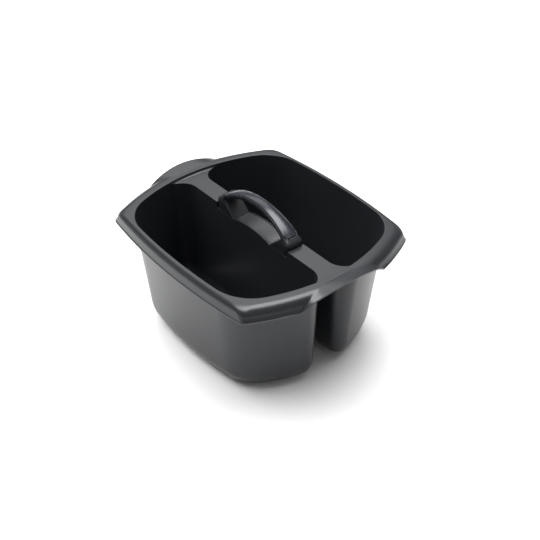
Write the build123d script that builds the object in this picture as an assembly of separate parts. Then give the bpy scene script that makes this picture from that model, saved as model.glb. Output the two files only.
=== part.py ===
from build123d import *
from math import acos, cos, pi, radians, sin, sqrt
import os

# Two-compartment cleaning caddy, millimetres. X runs along the carrying handle, Y across the two
# compartments, Z up. The origin is the middle of the base, on the floor that the caddy stands on.

# --- driving dimensions ---------------------------------------------------------------------
RIM_Z = 186.0  # height of the flat top of the rim
WALL = 2.6  # moulded wall thickness
BEYOND = 60.0  # reach of a cutting or trimming solid past what it cuts

# The opening of both compartments together, at the rim. Its four sides bow outwards.
OPEN_X, OPEN_Y = 166.5, 150.7  # half sizes at the middle of each side
BOW_X, BOW_Y = 42.6, 14.4  # how far the ends and the long sides fall back at OPEN_Y and OPEN_X
OPEN_CORNER = 67.4

# Compartment walls, outside, at the rim and at the base.
TOP_X, BASE_X = OPEN_X + WALL, 160.5
TOP_Y, BASE_Y = OPEN_Y + WALL, 138.7
GAP_TOP, GAP_BASE = 12.4, 18.2  # half the gap between the compartments
BASE_BOW_X, BASE_BOW_Y = 67.1, 27.0
OUTER_CORNER_TOP, OUTER_CORNER_BASE = OPEN_CORNER + WALL, 62.9
INNER_CORNER_TOP, INNER_CORNER_BASE = 30.0, 16.8
LEAST_CORNER = 4.0
BASE_ROUND = 31.3  # radius between the walls and the floor
BASE_STEPS = 6

# Rolled rim, as distances out from the opening and down from the rim.
LONG_FLAT, LONG_ROLL, LONG_SKIRT = 2.2, 8.9, 12.5
END_FLAT, END_ROLL, END_SKIRT = 8.9, 15.5, 26.6
SKIRT_DROP, LIP_DROP, LIP_OUT = 17.8, 20.6, 1.0
ROLL_TURN = radians(77)  # how far round the roll goes before the straight skirt
ROLL_DROPS = (0, 0.5, 1.8, 4.0, 6.8, 9.2, 12.0, SKIRT_DROP)
CREST_CORNER, LIP_CORNER = 38.0, 11.0
LIP_BOW_X = 39.5  # the lip's ends bow a little less than the opening's
UNDER_REACH = SKIRT_DROP + 5  # clears the space under the flat, inside the walls

# Lifting wings at the two ends, where the rim's skirt is left out.
WING_RISE = 4.1
WING_INNER_Y, WING_OUTER_Y = 42.0, 76.0
WING_ROOT_DROP, WING_TIP_DROP = 0.4, 18.0
WING_ROOT_X, WING_MARGIN, WING_OVERLAP = 150.0, 4.0, 0.6
WING_THICK = 2.8
WING_CLEAR = 5.0  # flat of the rim that stays inside each wing

# Deck between the compartments, and the finger recess in it.
DECK_DROP = 5.3
RECESS_END_X = 82.0
SEAT_DROP, RECESS_CROWN_DROP = 16.1, 10.2
RECESS_X = 40.6  # half length of the arched floor
BEAD_WIDE, BEAD_HIGH = 1.5, 0.9

# Handle, as heights above the rim.
HANDLE_MID_Z = 29.4  # middle of the section at the crown
HANDLE_HALF_THICK = 5.0
HANDLE_BEND = 118.8  # radius of the arch at its crown
HANDLE_DROOP = 1.13e-7  # extra fall towards the feet, times x to the fourth
HANDLE_HALF_WIDE, FOOT_HALF_WIDE, SEAT_HALF_WIDE = 9.5, 14.4, 15.1
HANDLE_ROUND = 3.2  # radius along the handle's long edges
FOOT_X = 81.7
FOOT_TOP_X = 83.2
PALM_END_X = 63.8  # where the underside of the arch meets the foot
GRIP_END_X = 75.5
GRIP_DEEP, GRIP_MARGIN, GRIP_ROUND = 2.4, 1.3, 8.0
FOOT_ROUND = 4.0  # upright corners of the feet
TONGUE_X, TONGUE_Y = 64.0, 6.5
TONGUE_LONG, TONGUE_THICK, BARB = 12.0, 2.4, 1.2
FIT_GAP = 0.25

os.makedirs("parts", exist_ok=True)


def blend(low, high, share):
    return low + (high - low) * share


def corner_point(half_x, half_y, bow_x, bow_y):
    """Where a bowed end meets a bowed long side."""
    x, y = half_x, half_y
    for _ in range(40):
        x = half_x - bow_x * (y / OPEN_Y) ** 2
        y = half_y - bow_y * (x / OPEN_X) ** 2
    return x, y


def bowed_outline(half_x, half_y, bow_x, bow_y, corner):
    """Face with four outward-bowed sides and four round corners."""
    x, y = corner_point(half_x, half_y, bow_x, bow_y)
    sides = (
        ThreePointArc((-x, y), (0, half_y), (x, y))
        + ThreePointArc((x, y), (half_x, 0), (x, -y))
        + ThreePointArc((x, -y), (0, -half_y), (-x, -y))
        + ThreePointArc((-x, -y), (-half_x, 0), (-x, y))
    )
    face = make_face(sides)
    return fillet(face.vertices(), corner)


def compartment_outline(height, inset):
    """Section of one compartment (the +Y one) at a height over the floor."""
    share = (RIM_Z - height) / RIM_Z
    half_x = blend(TOP_X, BASE_X, share) - inset
    half_y = blend(TOP_Y, BASE_Y, share) - inset
    gap = blend(GAP_TOP, GAP_BASE, share) + inset
    bow_x = blend(BOW_X, BASE_BOW_X, share)
    bow_y = blend(BOW_Y, BASE_BOW_Y, share)
    outer = max(blend(OUTER_CORNER_TOP, OUTER_CORNER_BASE, share) - inset, LEAST_CORNER)
    inner = max(blend(INNER_CORNER_TOP, INNER_CORNER_BASE, share) - inset, LEAST_CORNER)
    x, y = corner_point(half_x, half_y, bow_x, bow_y)
    x_gap = half_x - bow_x * (gap / OPEN_Y) ** 2
    y_mid = (gap + y) / 2
    x_mid = half_x - bow_x * (y_mid / OPEN_Y) ** 2
    sides = (
        Line((-x_gap, gap), (x_gap, gap))
        + ThreePointArc((x_gap, gap), (x_mid, y_mid), (x, y))
        + ThreePointArc((x, y), (0, half_y), (-x, y))
        + ThreePointArc((-x, y), (-x_mid, y_mid), (-x_gap, gap))
    )
    face = make_face(sides)
    gap_corners = [v for v in face.vertices() if v.Y < (gap + y) / 2]
    face = fillet(gap_corners, inner)
    far_corners = [v for v in face.vertices() if v.Y > y - 1 and abs(abs(v.X) - x) < 1]
    return fillet(far_corners, outer)


def compartment(floor, inset, top):
    """Solid of the +Y compartment from its floor to a height, round along the bottom."""
    turn = BASE_ROUND - inset
    sections = []
    for step in range(BASE_STEPS + 1):
        angle = step / BASE_STEPS * pi / 2
        height = floor + turn * (1 - cos(angle))
        sections.append(Pos(0, 0, height) * compartment_outline(height, inset + turn * (1 - sin(angle))))
    sections.append(Pos(0, 0, top) * compartment_outline(top, inset))
    return loft(sections, ruled=True)


def both(solid):
    return solid + mirror(solid, Plane.XZ)


def roll_out(drop, flat, roll, skirt):
    """How far the rolled rim stands out at a drop below its top."""
    turn_end = roll * (1 - cos(ROLL_TURN))
    if drop <= turn_end:
        return flat + roll * sin(acos(1 - drop / roll))
    edge = flat + roll * sin(ROLL_TURN)
    return blend(edge, skirt, (drop - turn_end) / (SKIRT_DROP - turn_end))


def rim_section(drop, inset):
    """Outline of the rolled rim at a drop below its top, inset by a wall."""
    out_x = roll_out(drop, END_FLAT, END_ROLL, END_SKIRT)
    out_y = roll_out(drop, LONG_FLAT, LONG_ROLL, LONG_SKIRT)
    corner = blend(CREST_CORNER, LIP_CORNER, (out_x - END_FLAT) / (END_SKIRT - END_FLAT))
    bow_x = blend(BOW_X, LIP_BOW_X, out_x / END_SKIRT)
    return bowed_outline(OPEN_X + out_x - inset, OPEN_Y + out_y - inset, bow_x, BOW_Y, corner)


def rim_body(inset, lower):
    """Solid inside the rolled rim; inset and lower give its hollow underside."""
    sections = [Pos(0, 0, RIM_Z - lower - drop) * rim_section(drop, inset) for drop in ROLL_DROPS]
    return loft(sections, ruled=True)


def ring(outer, inner, low, high):
    return Pos(0, 0, low) * extrude(outer - inner, high - low)


def opening(grow=0.0):
    return bowed_outline(OPEN_X + grow, OPEN_Y + grow, BOW_X, BOW_Y, OPEN_CORNER + grow)


def lip_outline(grow=0.0):
    half_x = OPEN_X + END_SKIRT + LIP_OUT + grow
    half_y = OPEN_Y + LONG_SKIRT + LIP_OUT + grow
    return bowed_outline(half_x, half_y, LIP_BOW_X, BOW_Y, LIP_CORNER)


def wing_plan(extra):
    """The flared area at the +X end where the wing takes the place of the skirt."""
    near, far = OPEN_X - BOW_X * (WING_INNER_Y / OPEN_Y) ** 2 + WING_CLEAR, OPEN_X + BEYOND
    slope = (WING_OUTER_Y - WING_INNER_Y) / (OPEN_X + END_SKIRT - near)
    y_near, y_far = WING_INNER_Y + extra, WING_INNER_Y + extra + slope * (far - near)
    return make_face(Polyline((near, -y_near), (far, -y_far), (far, y_far), (near, y_near), (near, -y_near)))


def wing():
    """Arched sheet that rises out of the rim's flat."""
    x_tip = OPEN_X + END_SKIRT + LIP_OUT + 2
    reach = WING_OUTER_Y + WING_MARGIN
    sections = []
    for x, rise, drop in ((WING_ROOT_X, 0.0, WING_ROOT_DROP), (x_tip, WING_RISE, WING_TIP_DROP)):
        top = ThreePointArc((-reach, -drop), (0, rise), (reach, -drop))
        right = Line((reach, -drop), (reach, -drop - WING_THICK))
        low = -drop - WING_THICK
        under = ThreePointArc((reach, low), (0, rise - WING_THICK), (-reach, low))
        left = Line((-reach, low), (-reach, -drop))
        face = make_face(top + right + under + left)
        across = Plane(origin=(x, 0, RIM_Z), x_dir=(0, 1, 0), z_dir=(1, 0, 0))
        sections.append(across * face)
    sheet = loft(sections, ruled=True)
    plan = wing_plan(WING_OVERLAP) & (lip_outline() - opening(1.0))
    return sheet & Pos(0, 0, RIM_Z - BEYOND) * extrude(plan, 2 * BEYOND)


def recess_profile(low):
    """Side view of the finger recess's floor, from one end of it to the other."""
    seat = RIM_Z - SEAT_DROP - low
    crown = RIM_Z - RECESS_CROWN_DROP - low
    return [
        Line((-RECESS_END_X, seat), (-RECESS_X, seat)),
        ThreePointArc((-RECESS_X, seat), (0, crown), (RECESS_X, seat)),
        Line((RECESS_X, seat), (RECESS_END_X, seat)),
    ]


def side_extrude(edges, half_wide):
    """Extrude a closed side view (X, Z) both ways along Y."""
    sketch = edges[0]
    for edge in edges[1:]:
        sketch = sketch + edge
    return extrude(Plane.XZ * make_face(sketch), half_wide, both=True)


def finger_recess_cut(half_wide):
    top = RIM_Z + BEYOND
    seat = RIM_Z - SEAT_DROP
    sides = [
        Line((RECESS_END_X, seat), (RECESS_END_X, top)),
        Line((RECESS_END_X, top), (-RECESS_END_X, top)),
        Line((-RECESS_END_X, top), (-RECESS_END_X, seat)),
    ]
    return side_extrude(recess_profile(0) + sides, half_wide)


def finger_recess_floor(half_wide):
    seat = RIM_Z - SEAT_DROP
    sides = [
        Line((RECESS_END_X, seat), (RECESS_END_X, seat - WALL)),
        Line((-RECESS_END_X, seat - WALL), (-RECESS_END_X, seat)),
    ]
    under = recess_profile(WALL)
    return side_extrude(recess_profile(0) + [sides[0]] + under[::-1] + [sides[1]], half_wide)


def recess_bead(y):
    """Fine raised edge along one side of the arched floor."""
    band = finger_recess_cut(BEAD_WIDE / 2)
    arch = band - Pos(0, 0, BEAD_HIGH) * band
    arch = arch & Box(2 * RECESS_X, 2 * BEAD_WIDE, 2 * RIM_Z + BEYOND)
    return Pos(0, y, 0) * arch


def tongue_slots():
    slots = [
        Pos(side_x * TONGUE_X, side_y * TONGUE_Y, RIM_Z - SEAT_DROP)
        * Box(TONGUE_LONG + 2 * FIT_GAP, TONGUE_THICK + BARB + 2 * FIT_GAP, 4 * WALL)
        for side_x in (-1, 1)
        for side_y in (-1, 1)
    ]
    return slots


def make_tub():
    """Both compartments, the rolled rim, the deck, the recess and the wings, in one moulding."""
    deck = RIM_Z - DECK_DROP
    outside = both(compartment(0, 0, RIM_Z))
    inside = both(compartment(WALL, WALL, deck))
    hollow = rim_body(WALL, WALL) - outside
    roll = rim_body(0, 0) - hollow
    roll -= Pos(0, 0, RIM_Z - WALL - UNDER_REACH) * extrude(opening(WALL), UNDER_REACH)
    lip = ring(lip_outline(), lip_outline(-LIP_OUT - WALL), RIM_Z - LIP_DROP, RIM_Z - SKIRT_DROP)
    rim = roll + lip
    for turn in (0, 180):
        skirt_gap = Pos(0, 0, RIM_Z - BEYOND) * extrude(wing_plan(0), 2 * BEYOND)
        rim -= Rot(0, 0, turn) * skirt_gap
    for turn in (0, 180):
        rim += Rot(0, 0, turn) * wing()
    collar = ring(opening(WALL), opening(), deck - WALL, RIM_Z)
    deck_plate = Pos(0, 0, deck - WALL) * extrude(opening(WALL), WALL)
    tub = outside - Pos(0, 0, deck) * extrude(opening(), 2 * DECK_DROP)
    tub = tub + rim + collar + deck_plate
    tub -= Pos(0, 0, deck) * extrude(opening(), 2 * DECK_DROP)
    tub -= inside
    half_deck = blend(GAP_TOP, GAP_BASE, DECK_DROP / RIM_Z) + WALL
    tub -= finger_recess_cut(half_deck + 0.6)
    tub += finger_recess_floor(half_deck)
    for end in (-1, 1):
        middle = RECESS_END_X + WALL / 2
        height = SEAT_DROP + WALL - DECK_DROP
        tub += Pos(end * middle, 0, deck - height / 2) * Box(WALL, 2 * half_deck, height)
        tub += recess_bead(end * (half_deck - BEAD_WIDE / 2))
    for slot in tongue_slots():
        tub -= slot
    return tub


def arch_z(x):
    return RIM_Z + HANDLE_MID_Z - x * x / (2 * HANDLE_BEND) - HANDLE_DROOP * x**4


def arch_edge(x, side):
    """Top (+1) or underside (-1) of the arch."""
    slope = x / HANDLE_BEND + 4 * HANDLE_DROOP * x**3
    return arch_z(x) + side * HANDLE_HALF_THICK * sqrt(1 + slope * slope)


def arch_curve(reach, side, lower=0.0):
    xs = [reach * share for share in (-1, -0.75, -0.5, -0.25, 0, 0.25, 0.5, 0.75, 1)]
    return Spline(*[(x, arch_edge(x, side) - lower) for x in xs])


def half_wide_at(x):
    """Half width of the handle, which flares towards its feet."""
    return blend(HANDLE_HALF_WIDE, FOOT_HALF_WIDE, min(abs(x) / FOOT_X, 1) ** 2.4)


def handle_plan(reach, margin, round_end):
    xs = [reach * share for share in (-1, -0.8, -0.6, -0.3, 0, 0.3, 0.6, 0.8, 1)]
    upper = Spline(*[(x, half_wide_at(x) - margin) for x in xs])
    lower = Spline(*[(x, margin - half_wide_at(x)) for x in xs[::-1]])
    wide = half_wide_at(reach) - margin
    sides = upper + Line((reach, wide), (reach, -wide)) + lower + Line((-reach, -wide), (-reach, wide))
    face = make_face(sides)
    return fillet(face.vertices(), round_end)


def handle_blank():
    """Arch and feet before the grip's pocket is taken out."""
    seat = RIM_Z - SEAT_DROP
    top_z = arch_edge(FOOT_TOP_X, 1)
    deck = RIM_Z - DECK_DROP
    ends = []
    for side in (1, -1):
        points = [
            (side * PALM_END_X, arch_edge(PALM_END_X, -1)),
            (side * (RECESS_X + FIT_GAP), seat),
            (side * FOOT_X, seat),
            (side * FOOT_X, deck),
            (side * FOOT_TOP_X, top_z),
        ]
        ends.append([Line(a, b) for a, b in zip(points, points[1:])])
    top = arch_curve(FOOT_TOP_X, 1)
    under = arch_curve(PALM_END_X, -1)
    body = side_extrude([top] + ends[0][::-1] + [under] + ends[1], SEAT_HALF_WIDE)
    plan = handle_plan(FOOT_TOP_X, 0.0, FOOT_ROUND)
    return body & Pos(0, 0, RIM_Z - BEYOND) * extrude(plan, 2 * BEYOND)


def rounded_blank():
    """The blank with its long edges rounded, on feet as wide as the recess."""
    blank = handle_blank()
    long_edges = [e for e in blank.edges() if e.length > 2 * PALM_END_X - BEYOND]
    blank = fillet(long_edges, HANDLE_ROUND)
    for side in (1, -1):
        blank += foot_base(side)
    return blank


def foot_base(side):
    """Base of a foot: as wide as the recess at its seat, narrower towards the deck."""
    seat, deck = RIM_Z - SEAT_DROP, RIM_Z - DECK_DROP
    palm_z = arch_edge(PALM_END_X, -1)
    sections = []
    for height, half_wide in ((seat, SEAT_HALF_WIDE), (deck, half_wide_at(PALM_END_X))):
        inner_x = blend(RECESS_X + FIT_GAP, PALM_END_X, (height - seat) / (palm_z - seat))
        middle = side * (inner_x + FOOT_X) / 2
        sections.append(Pos(middle, 0, height) * Rectangle(FOOT_X - inner_x, 2 * half_wide))
    return loft(sections, ruled=True)


def grip_region():
    """Space over the grip's seat, inside its rounded outline."""
    plan = handle_plan(GRIP_END_X, GRIP_MARGIN, GRIP_ROUND)
    column = Pos(0, 0, RIM_Z - BEYOND) * extrude(plan, 2 * BEYOND)
    reach, high = FOOT_X, RIM_Z + BEYOND
    seat = arch_curve(reach, 1, GRIP_DEEP)
    low = arch_edge(reach, 1) - GRIP_DEEP
    sides = [
        Line((reach, low), (reach, high)),
        Line((reach, high), (-reach, high)),
        Line((-reach, high), (-reach, low)),
    ]
    return column & side_extrude([seat] + sides, SEAT_HALF_WIDE)


def tongue(side_x, side_y):
    """Snap tongue under a foot, with a barb that catches under the recess floor."""
    seat = RIM_Z - SEAT_DROP
    barb_top = seat - WALL - 0.2
    y = TONGUE_Y - BARB / 2
    outline = Polyline(
        (y - TONGUE_THICK / 2, seat + 0.5),
        (y - TONGUE_THICK / 2, barb_top - 4),
        (y + TONGUE_THICK / 2, barb_top - 4),
        (y + TONGUE_THICK / 2 + BARB, barb_top),
        (y + TONGUE_THICK / 2, barb_top),
        (y + TONGUE_THICK / 2, seat + 0.5),
        (y - TONGUE_THICK / 2, seat + 0.5),
    )
    bar = extrude(Plane.YZ * make_face(outline), TONGUE_LONG / 2, both=True)
    if side_y < 0:
        bar = mirror(bar, Plane.XZ)
    return Pos(side_x * TONGUE_X, 0, 0) * bar


def write(shape, name):
    solids = shape.solids()
    body = solids[0] if len(solids) == 1 else Compound(solids)
    body.label = name
    export_step(body, f"parts/{name}.step")
    print(name, "solids", len(solids), "volume", round(shape.volume), "box", shape.bounding_box().size)


tub = make_tub()
write(tub, "tub")

blank = rounded_blank()
grip = blank & grip_region()
handle = blank - grip_region()
for side_x in (-1, 1):
    for side_y in (-1, 1):
        handle += tongue(side_x, side_y)
write(handle, "handle")
write(grip, "grip")
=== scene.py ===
from math import acos, cos, hypot, pi, radians, sin

import bmesh
import bpy
import numpy as np
from mathutils import Matrix, Vector


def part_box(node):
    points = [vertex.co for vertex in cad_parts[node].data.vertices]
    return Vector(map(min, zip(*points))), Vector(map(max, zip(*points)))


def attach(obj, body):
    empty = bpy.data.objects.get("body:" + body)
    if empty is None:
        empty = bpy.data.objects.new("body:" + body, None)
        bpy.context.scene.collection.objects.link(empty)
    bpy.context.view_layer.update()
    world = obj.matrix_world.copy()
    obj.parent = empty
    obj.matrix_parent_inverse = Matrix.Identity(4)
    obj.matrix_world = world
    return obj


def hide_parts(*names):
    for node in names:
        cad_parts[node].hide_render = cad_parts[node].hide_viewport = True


# Two-compartment cleaning caddy. The shapes are worked out in millimetres, in the CAD frame: X
# along the handle, Y across the compartments, Z up from the floor. They become metres in add_mesh.
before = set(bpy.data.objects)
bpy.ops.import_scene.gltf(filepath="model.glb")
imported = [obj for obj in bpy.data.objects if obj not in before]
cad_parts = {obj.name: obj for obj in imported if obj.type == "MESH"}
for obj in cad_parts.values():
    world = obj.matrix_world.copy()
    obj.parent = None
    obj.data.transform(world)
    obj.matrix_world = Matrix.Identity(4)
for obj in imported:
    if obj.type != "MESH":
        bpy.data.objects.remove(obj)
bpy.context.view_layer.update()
MM = 0.001

# --- driving dimensions, in millimetres -------------------------------------------------------
# The rim: its opening, how far it rolls out at the ends and the long sides, and its corners. A
# bow is how far an outline falls back from its middle over half the opening.
WALL = 2.6  # moulded thickness
EDGE, SEAT_EDGE = 0.8, 0.25  # radius of the rim's and the deck's edges, and of the recess's
WING_RISE = 4.1  # of a wing's edge over the rim
END_SKIRT, LONG_SKIRT, LIP_OUT = 26.6, 12.5, 1.0
WING_FALL_SHORT = 0.2  # how far the wing's edge stays under its full rise
tub_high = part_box("tub")[1] / MM
RIM_Z = tub_high.z - WING_RISE + WING_FALL_SHORT
OPEN_X = tub_high.x - END_SKIRT - LIP_OUT
OPEN_Y = tub_high.y - LONG_SKIRT - LIP_OUT
BOW_X, BOW_Y = 42.6, 14.4
OPEN_CORNER, CREST_CORNER, LIP_CORNER = 67.4, 38.0, 11.0  # radii at the opening, flat and lip
LIP_BOW_X = 39.5
END_FLAT, END_ROLL = 8.9, 15.5
LONG_FLAT, LONG_ROLL = 2.2, 8.9
ROLL_TURN = radians(77)  # how far the roll turns down before the skirt
SKIRT_DROP = 17.8
LIP_ROUND, LIP_THICK = 0.5, 2.8

# The compartments' walls, at the rim and at the floor.
TOP_X, BASE_X = OPEN_X + WALL, 160.5
TOP_Y, BASE_Y = OPEN_Y + WALL, 138.7
GAP_TOP, GAP_BASE = 12.4, 18.2
BASE_BOW_X, BASE_BOW_Y = 67.1, 27.0
OUTER_TOP, OUTER_BASE = OPEN_CORNER + WALL, 62.9
INNER_TOP, INNER_BASE = 30.0, 16.8
BASE_ROUND, LEAST_CORNER = 31.3, 15.0

# The deck and the recess in it, as drops from the rim.
DECK_DROP, SEAT_DROP, CROWN_DROP = 5.3, 16.1, 10.2
RECESS_X, RECESS_END_X = 40.6, 82.0
RECESS_ROUND = 0.8  # radius at the top and the foot of the recess's end
RECESS_FROM = 8.9  # a deck column lower than this under the rim is in the recess
BEAD_WIDE, BEAD_HIGH = 1.2, 0.9  # raised line along the arched part of the recess's floor
BEAD_SIDE_IN, BEAD_SIDE_OUT, BEAD_END_FROM, BEAD_END_TO = 0.4, 0.2, 1.2, 0.2
INNER_ROUND = 1.0  # fillets of the hidden side
EDGE_FADE = 4.0  # the deck's edge sharpens over this distance from the rim's end
UNDER_END_IN, UNDER_END_OUT = 14.0, 20.0  # how the hidden side passes round the recess's end

# The handle, grip and snap tongues.
HANDLE_MID_Z, HALF_THICK = 29.4, 5.0
HANDLE_BEND, HANDLE_DROOP = 118.8, 1.13e-7  # the arch's radius at its top, and its fourth power
HALF_WIDE, FOOT_HALF_WIDE, SEAT_HALF_WIDE = 9.5, 15.0, 15.3
FOOT_X, FOOT_TOP_X = 81.7, 83.2
PALM_X, SHOULDER, SHOULDER_LEAD = 66.5, 5.0, 0.7
ARCH_END_X, CORNER_END_X = 96.5, 90.0  # how far the arch is followed past the foot
FLARE_POWER = 2.4  # how late the handle widens towards its feet
HEEL_X = RECESS_X + 0.25
JOIN_CLEAR = 0.3  # sections this close to the foot's first one are left out
FOOT_SHAPE_AT, FOOT_WIDE_AT, SEAT_WIDE_AT = 0.5, 0.6, 0.85  # shares of the way down the foot
GRIP_END_X, GRIP_DEEP, GRIP_MARGIN, GRIP_ROUND = 75.5, 2.4, 1.3, 8.0
GRIP_GAP, GRIP_EDGE = 0.45, 1.0  # the groove round the grip, and the grip's rounded edge
GRIP_LIFT = 0.05  # how far the grip stays off the pocket's floor
POCKET_STEP, POCKET_LIP = 0.12, 0.45  # sections of the pocket's side wall, measured sideways
POCKET_LIP_DROP, POCKET_TOP_DROP = 0.4, 0.12
POCKET_END_LIP, POCKET_END_CLEAR = 0.4, 0.05
PIPING_HIGH, PIPING_OUT, PIPING_WIDE = 0.55, 0.55, 0.35  # raised line round the grip's pocket
PIPING_FADE = 2.0
TOP_POWER, LOW_POWER = 2.3, 3.2  # roundness of the handle's section, above and below
FOOT_POWER, HEEL_POWER = 5.0, 26.0  # and of the foot's, outside and inside
RIB_TOP, RIB_DEEP, RIB_NEAR_X, RIB_FADE, RIB_PITCH = 3.5, 0.45, 68.0, 4.0, 2.2
RIB_END = 1.0  # height over which the ribs fade at the top and foot of their band
TONGUE_X, TONGUE_Y, TONGUE_LONG, TONGUE_THICK, BARB = 64.0, 6.5, 12.0, 2.4, 1.2
TONGUE_INTO, TONGUE_TAPER, TONGUE_GAP = 0.5, 4.0, 0.2

# Wings: how their edge falls away from the middle, and how the sheet leaves the rim's flat.
WING_FALL, WING_TIP, WING_TIP_NEAR, WING_TIP_FAR = 0.00324, 4.0, 56.0, 80.0
WING_ROOT, WING_TUCK, WING_BLEND = 5.0, 1.2, 0.3
WING_SPREAD_NEAR, WING_SPREAD_FAR = 76.0, 104.0
WING_TUCK_FROM, WING_TUCK_TO = 3, 10
RIM_JOIN = 5.5  # where the rim's underside is free of the wall's fillet

# Cells of the grids.
WALL_CELLS, BASE_CELLS, FLOOR_CELLS, EDGE_CELLS = 14, 9, 6, 4
FLAT_CELLS, ROLL_CELLS, SKIRT_CELLS = 4, 16, 5
ARCH_CELLS, SEAT_CELLS, DECK_CELLS, TURN_IN_CELLS = 22, 10, 14, 22
END_NEAR_CELLS, END_FAR_CELLS, TURN_OUT_CELLS, LONG_CELLS = 26, 14, 24, 36
ROUND_CELLS = 3  # of a small fillet
END_NEAR_SHARE = 0.4  # share of the end beside the deck, which has the smaller cells
HANDLE_CELLS, GRIP_END_CELLS, FOOT_CELLS, SHOULDER_CELLS = 46, 12, 64, 12
POCKET_CELLS, SHELL_CELLS, HEEL_CELLS = 8, 9, 14
MIDDLE_CELLS = 13  # from the bead to the middle of the deck
ARCH_SAMPLES, CORNER_SAMPLES = 240, 900
SETTLE = 60  # repeats, more than a corner's or a section's place needs to settle
RELAX_BY = 0.5  # share of the way down where the gap side's columns are evenly spread
WELD = 3e-7  # metres between points of neighbouring grids that are one point

# Plastic, with noise scales per metre. The base colours are linear.
PLASTIC_IOR, CLOUD_SCALE, GLOSS_SCALE, GRAIN_SCALE, GRAIN_STRENGTH = 1.45, 9, 16, 900, 0.1
TUB_DARK, TUB_LIGHT = (0.0135, 0.0147, 0.0173), (0.0170, 0.0183, 0.0213)
HANDLE_DARK, HANDLE_LIGHT = (0.0120, 0.0133, 0.0160), (0.0160, 0.0175, 0.0205)
GRIP_DARK, GRIP_LIGHT = (0.0120, 0.0135, 0.0180), (0.0165, 0.0180, 0.0240)
GRIP_TINT = (0.92, 0.95, 1)
FLOOR_WHITE, FLOOR_ROUGHNESS = 0.86, 0.9

# Camera, floor and lights, in metres and degrees. The lights face a point at LIT_HEIGHT.
LIT_HEIGHT, WORLD_STRENGTH = 0.15, 0.3
FLOOR_REACH = 6.0
CAMERA_SENSOR, CAMERA_LENS = 36.0, 64.04  # millimetres
CAMERA_TURN, CAMERA_TILT, CAMERA_AWAY = 50.99, 34.54, 1.4028
CAMERA_SHOWS_AT = (-0.02067, 0.09431)  # where the rim's centre shows, in frame widths


def blend(low, high, share):
    """The value a share of the way from low to high."""
    return low + (high - low) * share


def smooth(low, high, value):
    """0 up to low and 1 from high on, with an even change between."""
    t = np.clip((value - low) / (high - low), 0, 1)
    return t * t * (3 - 2 * t)


# --- outlines -----------------------------------------------------------------------------------
def end_normal(y, bow):
    """Unit normal, in plan, of an end that bows by bow over half the opening's width."""
    slope = 2 * bow * y / OPEN_Y**2
    long = np.sqrt(1 + slope * slope)
    return 1 / long, slope / long


def long_normal(x, bow):
    """Unit normal, in plan, of a long side that bows by bow over half the opening's length."""
    slope = 2 * bow * x / OPEN_X**2
    long = np.sqrt(1 + slope * slope)
    return slope / long, 1 / long


def outer_corner(half_x, half_y, bow_x, bow_y, radius):
    """Round corner between a bowed end and a bowed long side: where it starts, ends and centres."""
    y_end, x_long = half_y - radius, half_x - radius
    for _ in range(SETTLE):
        end_x, end_y = end_normal(y_end, bow_x)
        long_x, long_y = long_normal(x_long, bow_y)
        x_long = half_x - bow_x * (y_end / OPEN_Y) ** 2 - radius * end_x + radius * long_x
        y_end = half_y - bow_y * (x_long / OPEN_X) ** 2 - radius * long_y + radius * end_y
    end_x, end_y = end_normal(y_end, bow_x)
    centre_x = half_x - bow_x * (y_end / OPEN_Y) ** 2 - radius * end_x
    return y_end, x_long, centre_x, y_end - radius * end_y


def inner_corner(half_x, bow_x, gap, radius):
    """Round corner between the straight gap side and a bowed end."""
    y_end = gap + radius
    for _ in range(SETTLE):
        y_end = gap + radius + radius * end_normal(y_end, bow_x)[1]
    end_x = end_normal(y_end, bow_x)[0]
    return y_end, half_x - bow_x * (y_end / OPEN_Y) ** 2 - radius * end_x


def arc_points(centre_x, centre_y, radius, start, stop, share):
    """Points at a share of the way along an arc between two normals."""
    turn = blend(np.arctan2(start[1], start[0]), np.arctan2(stop[1], stop[0]), share)
    return centre_x + radius * np.cos(turn), centre_y + radius * np.sin(turn)


# The stretches of a compartment's outline, from the middle of its gap side to that of its long side.
GAP, TURN_IN, END, TURN_OUT, LONG = range(5)


def wall_points(kind, share, top_x, height, inset, relax):
    """Points of one compartment's wall in plan, one for each column, at each column's own height.

    kind and share place a column on the outline, top_x is a gap column's place at its top, and
    relax spreads the gap columns evenly as they go down."""
    down = np.maximum(0, (RIM_Z - EDGE - height) / (RIM_Z - EDGE))
    half_x = blend(TOP_X, BASE_X, down) - inset
    half_y = blend(TOP_Y, BASE_Y, down) - inset
    gap = blend(GAP_TOP, GAP_BASE, down) + inset
    bow_x, bow_y = blend(BOW_X, BASE_BOW_X, down), blend(BOW_Y, BASE_BOW_Y, down)
    outer = np.maximum(blend(OUTER_TOP, OUTER_BASE, down) - inset, LEAST_CORNER)
    inner = np.maximum(blend(INNER_TOP, INNER_BASE, down) - inset, LEAST_CORNER)
    in_y, in_x = inner_corner(half_x, bow_x, gap, inner)
    out_y, out_x, out_cx, out_cy = outer_corner(half_x, half_y, bow_x, bow_y, outer)
    x, y = blend(top_x, share * in_x, relax), gap
    arc = arc_points(in_x, gap + inner, inner, (0, -1), end_normal(in_y, bow_x), share)
    x, y = np.where(kind == TURN_IN, arc[0], x), np.where(kind == TURN_IN, arc[1], y)
    end_y = blend(in_y, out_y, share)
    x = np.where(kind == END, half_x - bow_x * (end_y / OPEN_Y) ** 2, x)
    y = np.where(kind == END, end_y, y)
    end_n, long_n = end_normal(out_y, bow_x), long_normal(out_x, bow_y)
    arc = arc_points(out_cx, out_cy, outer, end_n, long_n, share)
    x, y = np.where(kind == TURN_OUT, arc[0], x), np.where(kind == TURN_OUT, arc[1], y)
    long_x = blend(out_x, 0, share)
    x = np.where(kind == LONG, long_x, x)
    return x, np.where(kind == LONG, half_y - bow_y * (long_x / OPEN_X) ** 2, y)


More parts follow.
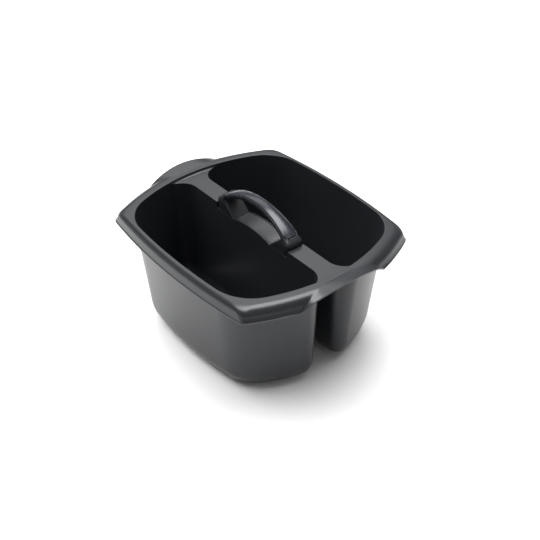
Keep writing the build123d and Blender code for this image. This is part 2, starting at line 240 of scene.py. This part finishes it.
# --- columns --------------------------------------------------------------------------------------
def spread(start, stop, cells):
    """Evenly spaced values from start to stop, both included."""
    return list(np.linspace(start, stop, cells + 1))


def side_view():
    """Top of the deck seen from the side, from the middle to the inner corners, as x and drop."""
    bow = (RECESS_X**2 + (SEAT_DROP - CROWN_DROP) ** 2) / 2 / (SEAT_DROP - CROWN_DROP)
    arched = spread(0, RECESS_X, ARCH_CELLS)
    floor = [(x, CROWN_DROP + bow - (bow * bow - x * x) ** 0.5) for x in arched]
    low, high, turn = SEAT_DROP - RECESS_ROUND, DECK_DROP + RECESS_ROUND, RECESS_ROUND
    floor += [(x, SEAT_DROP) for x in spread(RECESS_X, RECESS_END_X - turn, SEAT_CELLS)[1:]]
    angles = spread(0, pi / 2, ROUND_CELLS)[1:]
    foot = [(RECESS_END_X - turn + turn * sin(a), low + turn * cos(a)) for a in angles]
    face = [(RECESS_END_X, drop) for drop in spread(low, high, ROUND_CELLS)[1:]]
    top = [(RECESS_END_X + turn - turn * cos(a), high - turn * sin(a)) for a in angles]
    in_x = inner_corner(TOP_X - WALL, BOW_X, GAP_TOP + WALL, INNER_TOP - WALL)[1]
    deck = [(x, DECK_DROP) for x in spread(RECESS_END_X + turn, in_x, DECK_CELLS)[1:]]
    return np.array(floor + foot + face + top + deck)


deck_line = side_view()
gap_count = len(deck_line)
kinds, shares = [GAP] * gap_count, list(deck_line[:, 0] / deck_line[-1, 0])
end_shares = spread(0, END_NEAR_SHARE, END_NEAR_CELLS)[1:] + spread(END_NEAR_SHARE, 1, END_FAR_CELLS)[1:]
for kind, part in (
    (TURN_IN, spread(0, 1, TURN_IN_CELLS)[1:]),
    (END, end_shares),
    (TURN_OUT, spread(0, 1, TURN_OUT_CELLS)[1:]),
    (LONG, spread(0, 1, LONG_CELLS)[1:]),
):
    kinds += [kind] * len(part)
    shares += part
kinds, shares = np.array(kinds), np.array(shares)
top_x = np.concatenate([deck_line[:, 0], np.zeros(len(kinds) - gap_count)])
even = np.where(kinds == GAP, np.arange(len(kinds)) / (gap_count - 1), shares)
tip = gap_count - 1 + TURN_IN_CELLS  # the column at the deck's cusp
FILLET = DECK_DROP - EDGE

# Distance of each deck column from the rim's end, and the deck's height in that column.
turn_in = np.clip(np.arange(tip + 1) - (gap_count - 1), 0, None) / TURN_IN_CELLS
y_tip, x_turn = inner_corner(TOP_X - WALL, BOW_X, GAP_TOP + WALL, INNER_TOP - WALL)
whole_turn = pi / 2 + np.arctan2(*end_normal(y_tip, BOW_X)[::-1])
from_tip = (1 - np.cos((1 - turn_in) * whole_turn)) / (1 - cos(whole_turn))
axis_x = OPEN_X - (OPEN_X - x_turn) * from_tip
axis_x[:gap_count] = deck_line[:, 0]
away = OPEN_X - axis_x


def fillet_rise(radius, distance):
    """How high a fillet against the rim stands, at a distance from the rim's end."""
    reach = np.clip(radius - distance, 0, radius)
    return radius - np.sqrt(radius * radius - reach * reach)


drop = np.full(tip + 1, DECK_DROP)
drop[:gap_count] = deck_line[:, 1]
deck_z = RIM_Z - drop + fillet_rise(FILLET, away)
# Shares of the way from the compartment to the middle of the deck, closest over the bead.
BEAD_SHARES = [0, 0.03, 0.06, 0.09, 0.12, 0.155]
DECK_SHARES = BEAD_SHARES + spread(BEAD_SHARES[-1], 1, MIDDLE_CELLS)[1:]
bead = BEAD_HIGH * (1 - smooth(RECESS_X - BEAD_END_FROM, RECESS_X - BEAD_END_TO, axis_x))
edge_round = np.where(drop > RECESS_FROM, SEAT_EDGE, EDGE) * smooth(0, EDGE_FADE, away)


# --- tub --------------------------------------------------------------------------------------------
def column_tops(hidden):
    """Height at which each column's wall starts, under the rounded edge."""
    tops = np.full(len(kinds), RIM_Z - EDGE)
    tops[: tip + 1] = deck_z + bead - edge_round
    if hidden:
        tops[:] = RIM_Z - WALL - INNER_ROUND
        tops[: tip + 1] = deck_under() - INNER_ROUND * smooth(0, EDGE_FADE, away)
    return tops


def deck_under():
    """Underside of the deck in each deck column."""
    rise = fillet_rise(DECK_DROP - INNER_ROUND, away * (DECK_DROP - INNER_ROUND) / FILLET)
    return RIM_Z - drop - WALL + rise


def under_shift():
    """How far a hidden deck column stands outside the one above it, round the recess's end."""
    end_in, end_out = RECESS_END_X - RECESS_ROUND, RECESS_END_X + RECESS_ROUND
    at_end = smooth(RECESS_END_X - UNDER_END_IN, end_in, axis_x)
    at_end = at_end * (1 - smooth(end_out, RECESS_END_X + UNDER_END_OUT, axis_x))
    at_rim = np.clip(1 - away / FILLET, 0, 1)
    return WALL * (at_end + at_rim)


def column_x(hidden):
    """Where the deck columns cross the X axis, on the visible or the hidden side."""
    return axis_x + under_shift() * hidden


def compartment(hidden):
    """Wall and round bottom edge of half a compartment, as a grid of rows by columns."""
    inset, floor = (0.0, 0.0) if hidden else (WALL, WALL)
    place = top_x.copy()
    place[:gap_count] = column_x(hidden)[:gap_count]
    turn = BASE_ROUND - inset
    tops = column_tops(hidden)
    rows = []
    for t in spread(0, 1, WALL_CELLS):
        height = blend(tops, floor + turn, t)
        relax = smooth(0, RELAX_BY, t)
        share = blend(shares, even, relax)
        rows.append([*wall_points(kinds, share, place, height, inset, relax), height])
    for angle in spread(0, pi / 2, BASE_CELLS)[1:]:
        height = np.full(len(kinds), floor + turn * (1 - sin(angle)))
        grown = inset + turn * (1 - cos(angle))
        rows.append([*wall_points(kinds, even, place, height, grown, 1.0), height])
    return np.array(rows).transpose(0, 2, 1)


def across(loop):
    """Fills the flat inside of a half loop by joining its columns across the compartment."""
    half = len(loop) // 2
    near, far = loop[: half + 1], loop[::-1][: half + 1]
    return np.array([blend(near, far, t) for t in spread(0, 1, FLOOR_CELLS)])


def deck(hidden):
    """A quarter of the deck: its edge over the compartment, then across to the middle."""
    inset = 0.0 if hidden else WALL
    level = deck_under() if hidden else deck_z
    rim = np.zeros_like(bead) if hidden else bead
    turn = INNER_ROUND * smooth(0, EDGE_FADE, away) if hidden else edge_round
    kind, share, place = kinds[: tip + 1], shares[: tip + 1], column_x(hidden)
    rows = []
    for angle in spread(0, pi / 2, EDGE_CELLS):
        height = level + rim - turn * (1 - sin(angle))
        plan = wall_points(kind, share, place, height, inset - turn * (1 - cos(angle)), 0.0)
        rows.append([*plan, height])
    edge_x, edge_y = rows[-1][0], rows[-1][1]
    for t in DECK_SHARES[1:]:
        y = edge_y * (1 - t)
        x = place - (place - edge_x) * (1 - t) ** 2
        past_bead = smooth(BEAD_WIDE - BEAD_SIDE_IN, BEAD_WIDE + BEAD_SIDE_OUT, edge_y * t)
        height = level + rim * (1 - past_bead)
        rows.append([x, y, height])
    return np.array(rows).transpose(0, 2, 1)


def roll_out(drop, flat, roll, skirt):
    """How far the rolled rim stands out at a drop below its top."""
    turn_end = roll * (1 - cos(ROLL_TURN))
    edge = flat + roll * sin(ROLL_TURN)
    if drop > turn_end:
        return blend(edge, skirt, (drop - turn_end) / (SKIRT_DROP - turn_end))
    return flat + roll * sin(acos(1 - drop / roll))


def rim_rows():
    """The rim's rows from its inner edge to its lip: out at the ends, out at the sides, drop."""
    edge_angles, flat_shares = spread(0, pi / 2, EDGE_CELLS), spread(0, 1, FLAT_CELLS)[1:]
    rows = [(EDGE * (1 - cos(a)),) * 2 + (EDGE * (1 - sin(a)),) for a in edge_angles]
    rows += [(blend(EDGE, END_FLAT, t), blend(EDGE, LONG_FLAT, t), 0.0) for t in flat_shares]
    drops = [END_ROLL * (1 - cos(a)) for a in spread(0, ROLL_TURN, ROLL_CELLS)[1:]]
    drops += spread(drops[-1], SKIRT_DROP, SKIRT_CELLS)[1:]
    for drop in drops:
        out_end = roll_out(drop, END_FLAT, END_ROLL, END_SKIRT)
        rows.append((out_end, roll_out(drop, LONG_FLAT, LONG_ROLL, LONG_SKIRT), drop))
    for step in spread(0, LIP_OUT - LIP_ROUND, 2)[1:]:
        rows.append((END_SKIRT + step, LONG_SKIRT + step, SKIRT_DROP))
    return np.array(rows).T


out_end, out_long, drops = rim_rows()
corners = np.interp(out_end, (EDGE, END_FLAT, END_SKIRT), (OPEN_CORNER, CREST_CORNER, LIP_CORNER))
end_bows = blend(BOW_X, LIP_BOW_X, np.minimum(out_end / END_SKIRT, 1))
corner_y = outer_corner(OPEN_X + out_end, OPEN_Y + out_long, end_bows, BOW_Y, corners)[0]
LIP_END = END_SKIRT + LIP_OUT


def rim_plan(start, end_out, long_out, corner, plain_out):
    """Plan of one row of the rim. start is its row at the opening; the wings spread end_out."""
    bow = np.interp(plain_out, out_end, end_bows)
    turn = outer_corner(OPEN_X + plain_out, OPEN_Y + long_out, bow, BOW_Y, corner)
    grow = np.interp(end_out, out_end, corner_y) / np.interp(plain_out, out_end, corner_y)
    y = start[:, 1] * grow * turn[0] / corner_y[0]
    x = OPEN_X + end_out - np.interp(end_out, out_end, end_bows) * (y / OPEN_Y) ** 2
    start_n, stop_n = end_normal(turn[0], bow), long_normal(turn[1], BOW_Y)
    arc = arc_points(turn[2], turn[3], corner, start_n, stop_n, rim_shares)
    x, y = np.where(rim_kinds == TURN_OUT, arc[0], x), np.where(rim_kinds == TURN_OUT, arc[1], y)
    side_x = blend(turn[1], 0, rim_shares)
    x = np.where(rim_kinds == LONG, side_x, x)
    return x, np.where(rim_kinds == LONG, OPEN_Y + long_out - BOW_Y * (side_x / OPEN_X) ** 2, y)


def wing_edge(y):
    """Height of a wing's outer edge over the rim."""
    return WING_RISE - WING_FALL * y * y - WING_TIP * smooth(WING_TIP_NEAR, WING_TIP_FAR, np.abs(y))


def rim_tops(start):
    """Each column's rows across the rim: distance out at the ends, and height."""
    lip_y = np.abs(start[:, 1]) * corner_y[-1] / corner_y[0]
    share = 1 - smooth(WING_SPREAD_NEAR, WING_SPREAD_FAR, lip_y)
    share = np.where(rim_kinds == END, share, 0)
    last, first = len(out_end) - 1, EDGE_CELLS
    even_out = out_end.copy()
    even_out[first:] = np.linspace(out_end[first], out_end[last], last - first + 1)
    out = blend(out_end[:, None], even_out[:, None], share)
    plain = -np.interp(out, out_end, drops)
    y = start[:, 1] * np.interp(out, out_end, corner_y) / corner_y[0]
    rise = np.clip((out - WING_ROOT) / (LIP_END - WING_ROOT), 0, 1)
    sheet = wing_edge(y) * rise - WING_TUCK * (1 - smooth(WING_TUCK_FROM, WING_TUCK_TO, out))
    joined = (plain + sheet + np.sqrt((plain - sheet) ** 2 + WING_BLEND**2)) / 2
    wing_here = (rim_kinds == END) & (np.arange(len(out_end)) > first)[:, None]
    return out, np.where(wing_here, joined, plain)


def hidden_rows(out, height):
    """Underside of one column of the rim."""
    go, rise = np.gradient(out), np.gradient(height)
    long = np.hypot(go, rise)
    under_out, under = out + rise / long * WALL, height - go / long * WALL
    under_out[-1], under[-1] = out[-1], height[-1] - LIP_THICK
    turn = np.linspace(0, pi / 2, EDGE_CELLS + 1)
    joined = int(np.argmax(under_out > RIM_JOIN))
    along = np.linspace(WALL + INNER_ROUND, under_out[joined], joined - EDGE_CELLS + 1)
    fixed = np.interp(along, under_out[EDGE_CELLS : joined + 1], under[EDGE_CELLS : joined + 1])
    under_out[EDGE_CELLS : joined + 1], under[EDGE_CELLS : joined + 1] = along, fixed
    under_out[: EDGE_CELLS + 1] = WALL + INNER_ROUND * (1 - np.cos(turn))
    under[: EDGE_CELLS + 1] = -WALL - INNER_ROUND * (1 - np.sin(turn))
    return under_out, under


def rim(start, under_start):
    """A quarter of the rolled rim and its wing: the top, the lip's edge and the underside."""
    out, height = rim_tops(start)
    count = len(out_end)
    top = []
    for k in range(count):
        plan = rim_plan(start, out[k], out_long[k], corners[k], out_end[k])
        top.append([*plan, RIM_Z + height[k]])
    top = np.array(top).transpose(0, 2, 1)
    top[0] = start
    edge = [top[-1]]
    lip_angles = spread(0, pi / 2, ROUND_CELLS)[1:]
    turns = [(LIP_ROUND * sin(a), LIP_ROUND * (1 - cos(a))) for a in lip_angles]
    turns += [(out_by, LIP_THICK - down) for out_by, down in turns[::-1]] + [(0.0, LIP_THICK)]
    for more, down in turns:
        plan = rim_plan(start, out[-1] + more, out_long[-1] + more, LIP_CORNER, out_end[-1] + more)
        edge.append(np.array([*plan, top[-1][:, 2] - down]).T)
    columns = [hidden_rows(out[:, c], height[:, c]) for c in range(len(start))]
    under_end, under_height = (np.array([c[i] for c in columns]).T for i in (0, 1))
    plain_end, end_height = hidden_rows(out_end, -drops)
    plain_long, long_height = hidden_rows(out_long, -drops)
    side = np.where(rim_kinds == LONG, 1, np.where(rim_kinds == TURN_OUT, rim_shares, 0))
    plain_height = blend(end_height[:, None], long_height[:, None], side)
    under_height = np.where(rim_kinds == END, under_height, plain_height)
    bottom = []
    for k in range(count):
        radius = corners[k] + WALL * (1 - k / (count - 1))
        plan = rim_plan(start, under_end[k], plain_long[k], radius, plain_end[k])
        bottom.append([*plan, RIM_Z + under_height[k]])
    bottom = np.array(bottom).transpose(0, 2, 1)
    bottom[0], bottom[-1] = under_start, edge[-1]
    return top, np.array(edge), bottom


rim_kinds = np.concatenate([np.full(len(DECK_SHARES), END), kinds[tip + 1 :]])
rim_shares = np.concatenate([np.zeros(len(DECK_SHARES)), shares[tip + 1 :]])


def make_tub():
    """All the tub's surfaces over a quarter of it."""
    grids, starts = [], []
    for hidden in (False, True):
        plate, walls = deck(hidden), compartment(hidden)
        starts.append(np.concatenate([plate[EDGE_CELLS:, -1][::-1], walls[0, tip + 1 :]]))
        grids += [plate, walls, across(walls[-1])]
    return grids + list(rim(*starts))


# --- handle -------------------------------------------------------------------------------------------
def arch_z(x):
    """Height of the arch's middle line."""
    return RIM_Z + HANDLE_MID_Z - x * x / (2 * HANDLE_BEND) - HANDLE_DROOP * x**4


def arch_slope(x):
    """Slope of the arch's middle line."""
    return -x / HANDLE_BEND - 4 * HANDLE_DROOP * x**3


def arch_side(x, side):
    """Top or underside of the arch over or under a point of its middle line."""
    lean = arch_slope(x)
    long = hypot(1, lean)
    return x - side * HALF_THICK * lean / long, arch_z(x) + side * HALF_THICK / long


def foot_line():
    """Outside of a foot, from the arch round the shoulder to the seat, as x and z."""
    deck, seat = RIM_Z - DECK_DROP, RIM_Z - SEAT_DROP
    arch = [arch_side(x, 1) for x in np.linspace(PALM_X, ARCH_END_X, ARCH_SAMPLES)]
    arch = np.array([point for point in arch if point[0] < FOOT_TOP_X - SHOULDER * SHOULDER_LEAD])
    sides = [arch_side(x, 1) for x in np.linspace(PALM_X, CORNER_END_X, CORNER_SAMPLES)]
    corner = np.array(next(point for point in sides if point[0] > FOOT_TOP_X))
    below = blend(corner, np.array([FOOT_X, deck]), SHOULDER / (corner[1] - deck))
    shares = spread(0, 1, SHOULDER_CELLS)[1:]
    bend = [(1 - t) ** 2 * arch[-1] + 2 * t * (1 - t) * corner + t * t * below for t in shares]
    return np.array([*arch, *bend, (FOOT_X, deck), (FOOT_X, seat)])


def half_wide_at(x):
    """Half width of the handle, which flares towards its feet."""
    return blend(HALF_WIDE, FOOT_HALF_WIDE, min(abs(x) / FOOT_X, 1) ** FLARE_POWER)


def stations():
    """Sections from the crown to the seat: outer point, inner point, half width, share of the foot."""
    straight_end = GRIP_END_X - GRIP_ROUND
    near_end = [straight_end + GRIP_ROUND * sin(a) for a in spread(0, pi / 2, GRIP_END_CELLS)]
    xs = spread(0, straight_end, HANDLE_CELLS)[:-1] + near_end[:-1]
    xs += [GRIP_END_X - POCKET_STEP, GRIP_END_X, GRIP_END_X + POCKET_END_LIP]
    join_x = arch_side(PALM_X, 1)[0]
    found = []
    for x in [x for x in xs if x < join_x - JOIN_CLEAR]:
        mid = x
        for _ in range(SETTLE):
            mid = x + HALF_THICK * arch_slope(mid) / hypot(1, arch_slope(mid))
        found.append((np.array(arch_side(mid, 1)), np.array(arch_side(mid, -1)), half_wide_at(x), 0.0))
    line = foot_line()
    steps = np.hypot(*np.diff(line, axis=0).T)
    walked = np.concatenate([[0], np.cumsum(steps)]) / steps.sum()
    falling = int(np.argmax(line[:, 0]))
    past_join = [x for x in xs if x > join_x + JOIN_CLEAR]
    foot = [float(np.interp(x, line[:falling, 0], walked[:falling])) for x in past_join]
    foot = [0.0] + foot + spread(foot[-1], 1, FOOT_CELLS)[1:]
    palm, bottom = np.array(arch_side(PALM_X, -1)), np.array([HEEL_X, RIM_Z - SEAT_DROP])
    for t in foot:
        outer = np.array([np.interp(t, walked, line[:, i]) for i in (0, 1)])
        wide = blend(half_wide_at(join_x), FOOT_HALF_WIDE, smooth(0, FOOT_WIDE_AT, t))
        wide = blend(wide, SEAT_HALF_WIDE, smooth(FOOT_WIDE_AT, SEAT_WIDE_AT, t))
        found.append((outer, blend(palm, bottom, t), wide, float(smooth(0, FOOT_SHAPE_AT, t))))
    return found


def superellipse(turn, power, half_long, half_wide):
    """Distances up and sideways to a rounded outline, at turns from its side to its top."""
    sideways = np.where(turn > pi / 2 - 1e-6, 0, np.abs(np.cos(turn)) ** (2 / power))
    return half_long * np.abs(np.sin(turn)) ** (2 / power), half_wide * sideways


def on_top(across_by, power, half_long, half_wide):
    """Height of the same outline over a distance sideways."""
    return half_long * (1 - (np.minimum(across_by, half_wide) / half_wide) ** power) ** (1 / power)


def pocket_half(x, wide):
    """Half width of the grip's pocket, with its round ends."""
    into = min(max(x - (GRIP_END_X - GRIP_ROUND), 0), GRIP_ROUND)
    return wide - GRIP_MARGIN - GRIP_ROUND + (GRIP_ROUND**2 - into**2) ** 0.5


def place(outer, inner, up, sideways):
    """Points of a section that lies between an outer and an inner point."""
    middle, axis = (outer + inner) / 2, outer - inner
    axis = axis / np.hypot(*axis)
    up = np.asarray(up)
    return np.array([middle[0] + axis[0] * up, np.asarray(sideways), middle[1] + axis[1] * up]).T


def body_section(outer, inner, wide, foot):
    """Half of one section of the handle, from the middle of its top round to that of its inside."""
    half = np.hypot(*(outer - inner)) / 2
    top, low = blend(TOP_POWER, FOOT_POWER, foot), blend(LOW_POWER, HEEL_POWER, foot)
    pocket = pocket_half(outer[0], wide)
    in_pocket = outer[0] < GRIP_END_X - POCKET_END_CLEAR
    floor_side = np.linspace(0, pocket - POCKET_STEP, POCKET_CELLS + 1)
    lip_side = np.array([pocket, pocket + POCKET_STEP, pocket + POCKET_LIP])
    floor_up = on_top(floor_side, top, half, wide) - GRIP_DEEP * in_pocket
    lip_up = on_top(lip_side, top, half, wide)
    lip_up -= in_pocket * np.array([POCKET_LIP_DROP, POCKET_TOP_DROP, 0])
    first = np.arccos(((pocket + POCKET_LIP) / wide) ** (top / 2))
    shell = superellipse(np.linspace(first, 0, SHELL_CELLS + 1)[1:], top, half, wide)
    heel = superellipse(np.linspace(0, pi / 2, HEEL_CELLS + 1)[1:], low, half, wide)
    top_up = np.concatenate([floor_up, lip_up, shell[0]])
    top_side = np.concatenate([floor_side, lip_side, shell[1]])
    piping = PIPING_HIGH * np.exp(-(((top_side - pocket - PIPING_OUT) / PIPING_WIDE) ** 2))
    piping = piping * (1 - smooth(GRIP_END_X, GRIP_END_X + PIPING_FADE, outer[0]))
    top_up, top_side = top_up + piping, top_side + piping / 2
    return place(outer, inner, np.concatenate([top_up, -heel[0]]), np.concatenate([top_side, heel[1]]))


def ribs(section):
    """Fine level ribs round the outside of a foot, above the deck."""
    x, y, z = section.T
    low, high = RIM_Z - DECK_DROP, RIM_Z + RIB_TOP
    in_band = smooth(low, low + RIB_END, z) * (1 - smooth(high - RIB_END, high, z))
    wave = 0.5 - 0.5 * np.cos(2 * pi * z / RIB_PITCH)
    deep = RIB_DEEP * in_band * smooth(RIB_NEAR_X, RIB_NEAR_X + RIB_FADE, x) * wave
    dx, dy = np.maximum(x - RIB_NEAR_X, 0.01), y
    long = np.sqrt(dx**6 + dy**6) + 1e-9
    section[:, 0] += deep * dx**3 / long
    section[:, 1] += deep * dy**3 / long
    return section


def make_body():
    """The handle over a quarter of it, with a snap tongue under its foot."""
    rows = np.array([ribs(body_section(*station)) for station in stations()])
    return [rows, across(rows[-1])] + tongues()


def tongues():
    """A snap tongue under the foot, with a barb that catches under the recess's floor."""
    seat = RIM_Z - SEAT_DROP
    catch = seat - WALL - TONGUE_GAP
    y = TONGUE_Y - BARB / 2 - TONGUE_THICK / 2
    back, root, tip_z = y + TONGUE_THICK, seat + TONGUE_INTO, catch - TONGUE_TAPER
    outline = [(y, root), (y, tip_z), (back, tip_z), (back + BARB, catch), (back, catch), (back, root)]
    low, high = TONGUE_X - TONGUE_LONG / 2, TONGUE_X + TONGUE_LONG / 2
    sides = np.array([[(x, *point) for point in outline + outline[:1]] for x in (low, high)])
    caps = [(0, 1, 4, 2), (0, 0, 5, 4), (2, 2, 4, 3)]
    return [sides] + [end[list(cap)].reshape(2, 2, 3) for end in sides for cap in caps]


def grip_section(outer, inner, wide, foot, lower):
    """Half of one section of the grip, from the middle of its top round to that of its seat."""
    half = np.hypot(*(outer - inner)) / 2
    top = blend(TOP_POWER, FOOT_POWER, foot)
    reach = pocket_half(outer[0] + GRIP_GAP, wide) - GRIP_GAP
    flat = np.linspace(0, reach - GRIP_EDGE, POCKET_CELLS + 2)
    turn = np.linspace(0, pi / 2, EDGE_CELLS + 1)[1:]
    floor_side = np.linspace(reach, 0, POCKET_CELLS + 1)
    sideways = np.concatenate([flat, reach - GRIP_EDGE * (1 - np.sin(turn)), floor_side])
    up = on_top(sideways, top, half, wide)
    up[: len(flat)] -= lower
    edge = slice(len(flat), len(flat) + len(turn))
    up[edge] -= GRIP_EDGE * (1 - np.cos(turn)) + lower * (1 - np.sin(turn))
    up[-len(floor_side) :] -= GRIP_DEEP - GRIP_LIFT
    return place(outer, inner, up, sideways)


def make_grip():
    """The soft insert in the handle's pocket."""
    kept = [s for s in stations() if s[0][0] < GRIP_END_X - GRIP_GAP - GRIP_LIFT]
    rows = []
    for outer, inner, wide, foot in kept:
        into = max(0, outer[0] - (GRIP_END_X - GRIP_GAP - GRIP_EDGE))
        lower = GRIP_EDGE - (max(GRIP_EDGE**2 - into**2, 0)) ** 0.5
        rows.append(grip_section(outer, inner, wide, foot, lower))
    rows = np.array(rows)
    return [rows, across(rows[-1])]


# --- meshes ---------------------------------------------------------------------------------------------
def add_mesh(name, grids, material, body="root"):
    """One closed piece from quarter grids, mirrored across both middle planes and welded."""
    points, faces, start = [], [], 0
    for grid in grids:
        rows, columns = grid.shape[:2]
        for mirror_x in (1, -1):
            for mirror_y in (1, -1):
                points.append(grid.reshape(-1, 3) * (mirror_x, mirror_y, 1) * MM)
                index = start + np.arange(rows * columns).reshape(rows, columns)
                ring = np.stack([index[:-1, :-1], index[:-1, 1:], index[1:, 1:], index[1:, :-1]], -1)
                faces.append(ring.reshape(-1, 4)[:, :: mirror_x * mirror_y])
                start += rows * columns
    mesh = bpy.data.meshes.new(name)
    mesh.from_pydata(np.concatenate(points).tolist(), [], np.concatenate(faces).tolist())
    work = bmesh.new()
    work.from_mesh(mesh)
    bmesh.ops.remove_doubles(work, verts=work.verts, dist=WELD)
    bmesh.ops.dissolve_degenerate(work, edges=work.edges, dist=WELD)
    loose = [v for v in work.verts if not v.link_faces]
    bmesh.ops.delete(work, geom=loose, context="VERTS")
    bmesh.ops.recalc_face_normals(work, faces=work.faces)
    print(name, "faces", len(work.faces), "open edges", sum(len(e.link_faces) != 2 for e in work.edges))
    work.to_mesh(mesh)
    work.free()
    mesh.polygons.foreach_set("use_smooth", [True] * len(mesh.polygons))
    mesh.materials.append(material)
    piece = bpy.data.objects.new(name, mesh)
    bpy.context.scene.collection.objects.link(piece)
    weighted = piece.modifiers.new("weighted_normals", "WEIGHTED_NORMAL")
    weighted.weight = 50
    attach(piece, body)
    return piece


# --- materials -----------------------------------------------------------------------------------------
def moulded_plastic(name, dark, light, smoothest, roughest, grain=0.00005, tint=(1, 1, 1)):
    """Moulded plastic: faint cloudiness, uneven gloss and a moulding grain, grain metres deep."""
    material = bpy.data.materials.new(name)
    material.use_nodes = True
    nodes, links = material.node_tree.nodes, material.node_tree.links
    shader = nodes["Principled BSDF"]
    shader.inputs["IOR"].default_value = PLASTIC_IOR
    shader.inputs["Specular Tint"].default_value = (*tint, 1)
    place_in = nodes.new("ShaderNodeTexCoord").outputs["Object"]

    def noise(scale, detail):
        node = nodes.new("ShaderNodeTexNoise")
        node.inputs["Scale"].default_value = scale
        node.inputs["Detail"].default_value = detail
        links.new(place_in, node.inputs["Vector"])
        return node.outputs["Fac"]

    def ramp(source, start, stop):
        node = nodes.new("ShaderNodeMapRange")
        node.inputs["To Min"].default_value, node.inputs["To Max"].default_value = start, stop
        links.new(source, node.inputs["Value"])
        return node.outputs["Result"]

    mix = nodes.new("ShaderNodeMix")
    mix.data_type = "RGBA"
    links.new(noise(CLOUD_SCALE, 1), mix.inputs["Factor"])
    mix.inputs["A"].default_value, mix.inputs["B"].default_value = (*dark, 1), (*light, 1)
    links.new(mix.outputs["Result"], shader.inputs["Base Color"])
    links.new(ramp(noise(GLOSS_SCALE, 1), smoothest, roughest), shader.inputs["Roughness"])
    bump = nodes.new("ShaderNodeBump")
    bump.inputs["Strength"].default_value = GRAIN_STRENGTH
    bump.inputs["Distance"].default_value = grain
    links.new(noise(GRAIN_SCALE, 2), bump.inputs["Height"])
    links.new(bump.outputs["Normal"], shader.inputs["Normal"])
    return material


# --- stage, lights and camera ------------------------------------------------------------------------
def make_floor():
    """White floor that the caddy stands on."""
    mesh = bpy.data.meshes.new("floor")
    reach = FLOOR_REACH
    corners_at = [(-reach, -reach, 0), (reach, -reach, 0), (reach, reach, 0), (-reach, reach, 0)]
    mesh.from_pydata(corners_at, [], [(0, 1, 2, 3)])
    material = bpy.data.materials.new("white_floor")
    material.use_nodes = True
    shader = material.node_tree.nodes["Principled BSDF"]
    shader.inputs["Base Color"].default_value = (FLOOR_WHITE, FLOOR_WHITE, FLOOR_WHITE, 1)
    shader.inputs["Roughness"].default_value = FLOOR_ROUGHNESS
    shader.inputs["Specular IOR Level"].default_value = 0.0
    mesh.materials.append(material)
    floor = bpy.data.objects.new("floor", mesh)
    bpy.context.scene.collection.objects.link(floor)


def soft_box(name, towards, distance, wide, high, radiance, seen_by):
    """Rectangular light that faces the caddy, seen either by diffuse shading or by gloss."""
    light = bpy.data.lights.new(name, "AREA")
    light.shape, light.size, light.size_y = "RECTANGLE", wide, high
    light.energy = radiance * pi * wide * high
    box = bpy.data.objects.new(name, light)
    towards = Vector(towards).normalized()
    box.location = Vector((0, 0, LIT_HEIGHT)) + towards * distance
    box.rotation_mode = "QUATERNION"
    box.rotation_quaternion = towards.to_track_quat("Z", "Y")
    box.visible_glossy = seen_by == "gloss"
    box.visible_diffuse = seen_by == "diffuse"
    bpy.context.scene.collection.objects.link(box)


def make_lights():
    """Boxes for the highlights and the floor's light, over a dim white world."""
    # Each box: its direction and distance from the caddy, its width, height and radiance.
    soft_box("overhead_box", (0.00, 0.10, 1.0), 2.3, 1.5, 2.3, 10.4, "gloss")
    soft_box("back_left_box", (-0.65, 0.29, 0.71), 3.2, 2.4, 1.5, 2.1, "gloss")
    soft_box("left_front_box", (-0.64, -0.72, 0.12), 3.2, 1.8, 0.7, 0.6, "gloss")
    soft_box("ceiling_fill", (-0.44, 0.10, 0.90), 2.6, 5.0, 5.0, 4.5, "diffuse")
    world = bpy.data.worlds.new("studio")
    bpy.context.scene.world = world
    world.use_nodes = True
    background = world.node_tree.nodes["Background"]
    background.inputs["Color"].default_value = (1, 1, 1, 1)
    background.inputs["Strength"].default_value = WORLD_STRENGTH


def make_camera():
    """Camera that looks down at one corner of the caddy, with the rim's centre off the middle."""
    camera = bpy.data.cameras.new("camera")
    camera.sensor_width, camera.lens = CAMERA_SENSOR, CAMERA_LENS
    turn, tilt = radians(CAMERA_TURN), radians(CAMERA_TILT)
    back = Vector((sin(turn) * cos(tilt), -cos(turn) * cos(tilt), sin(tilt)))
    right = Vector((0, 0, 1)).cross(back).normalized()
    up = back.cross(right)
    axes = Matrix((right, up, back)).transposed()
    shown_at = Vector((*CAMERA_SHOWS_AT, -camera.lens / camera.sensor_width)).normalized()
    aim = shown_at.rotation_difference(Vector((0, 0, -1))).to_matrix()
    view = bpy.data.objects.new("camera", camera)
    view.matrix_world = (axes @ aim).to_4x4()
    view.location = Vector((0, 0, RIM_Z * MM)) + back * CAMERA_AWAY
    bpy.context.scene.collection.objects.link(view)
    bpy.context.scene.camera = view


# Each range of roughness stays on one side of 0.27. One that crossed it left thin outlines in the
# denoised picture.
black = moulded_plastic("black_polypropylene", TUB_DARK, TUB_LIGHT, 0.28, 0.33)
handle_black = moulded_plastic("handle_polypropylene", HANDLE_DARK, HANDLE_LIGHT, 0.28, 0.33)
soft = moulded_plastic("soft_grip", GRIP_DARK, GRIP_LIGHT, 0.2, 0.26, 0.00004, GRIP_TINT)

for name, grids, material in (
    ("tub", make_tub(), black),
    ("handle", make_body(), handle_black),
    ("grip", make_grip(), soft),
):
    piece = add_mesh(name + "_shell", grids, material)
    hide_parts(name)

make_floor()
make_lights()
make_camera()
bpy.context.scene.view_settings.view_transform = "Standard"
